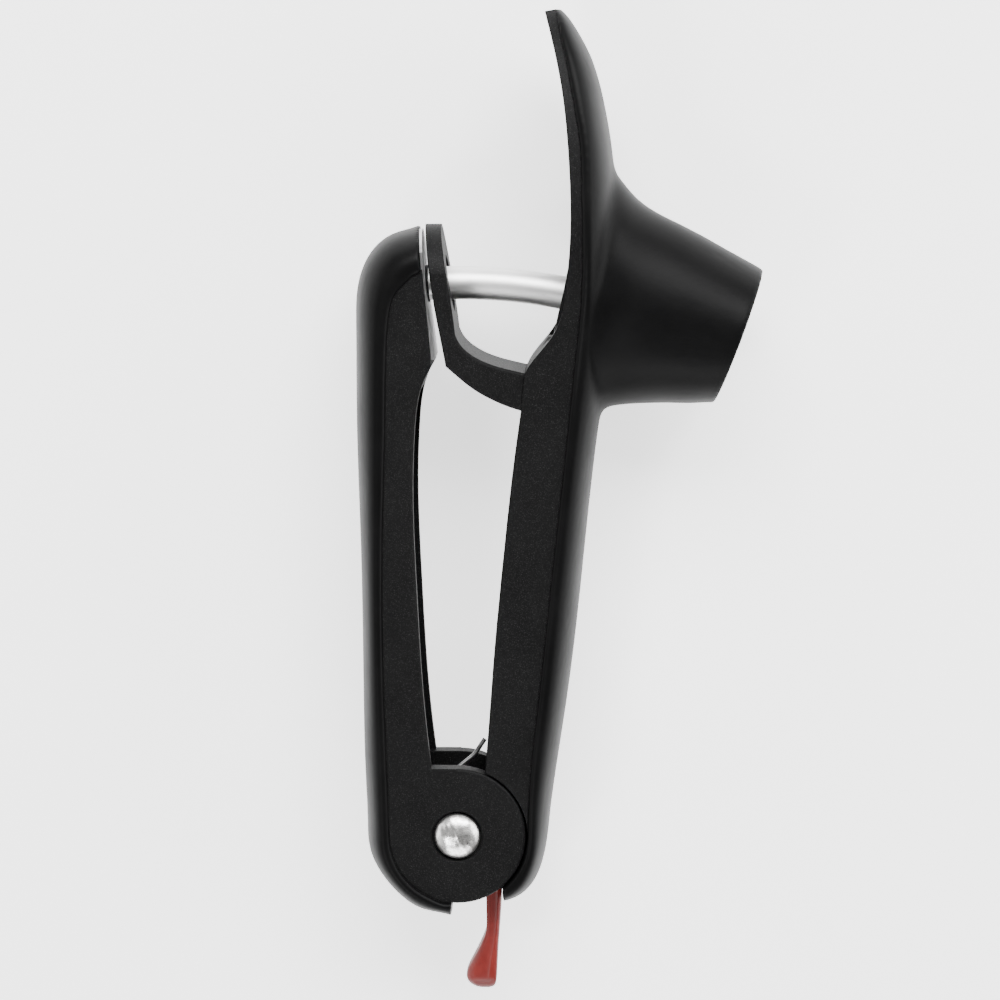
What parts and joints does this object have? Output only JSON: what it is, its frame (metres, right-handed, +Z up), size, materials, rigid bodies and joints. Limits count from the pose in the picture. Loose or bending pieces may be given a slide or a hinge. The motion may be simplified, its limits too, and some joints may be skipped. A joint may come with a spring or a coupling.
{
  "type": "cherry pitter",
  "caption": "Hand-held pitter with two hinged handles, curved plunger rod, stripper yoke, cup with splash guard and pit spout, and a sliding lock tab.",
  "frame": {"origin": "centre of the box's floor, with the pitter lying on its side", "axes": "+X from the lever to the spout, +Y from the hinge up the handles, +Z up along the hinge pin"},
  "size_m": [0.0788, 0.1922, 0.036],
  "materials": {
    "matte_core": "fine grained",
    "soft_shell": "satin",
    "cup_plastic": "satin",
    "lock_red": "satin",
    "polished_steel": "polished",
    "satin_steel": "satin",
    "spring_steel": "bright drawn",
    "bush_bronze": "plain",
    "grey_plate": "satin"
  },
  "bodies": {
    "holder": {"holder_frame": "matte_core", "shield_grip_shell": "soft_shell", "cherry_cup": "cup_plastic", "cup_screws": "polished_steel", "stripper_yoke": "matte_core", "yoke_screws": "polished_steel", "hinge_bush": "bush_bronze", "torsion_spring": "spring_steel", "lock_clip": "spring_steel"},
    "plunger_lever": {"lever_frame": "matte_core", "lever_grip_shell": "soft_shell", "plunger_rod": "satin_steel", "rod_plate": "grey_plate", "rod_plate_screws": "polished_steel", "rod_cross_pin": "satin_steel", "hinge_rivet": "polished_steel", "rivet_rear_cap": "polished_steel", "thrust_washers": "cup_plastic"},
    "lock": {"lock_tab": "lock_red", "lock_cross_pin": "satin_steel"}
  },
  "joints": [
    {"name": "lever_hinge", "type": "hinge", "parent": "holder", "child": "plunger_lever", "pos_m": [-0.0198, -0.0631, 0.018], "axis": [0, 0, 1], "range_deg": [0, 19], "stiffness_Nm_per_rad": 0.2, "springref_deg": 74.48},
    {"name": "lock_slide", "type": "slide", "parent": "holder", "child": "lock", "axis": [0, 1, 0], "range_m": [0, 0.004]}
  ]
}
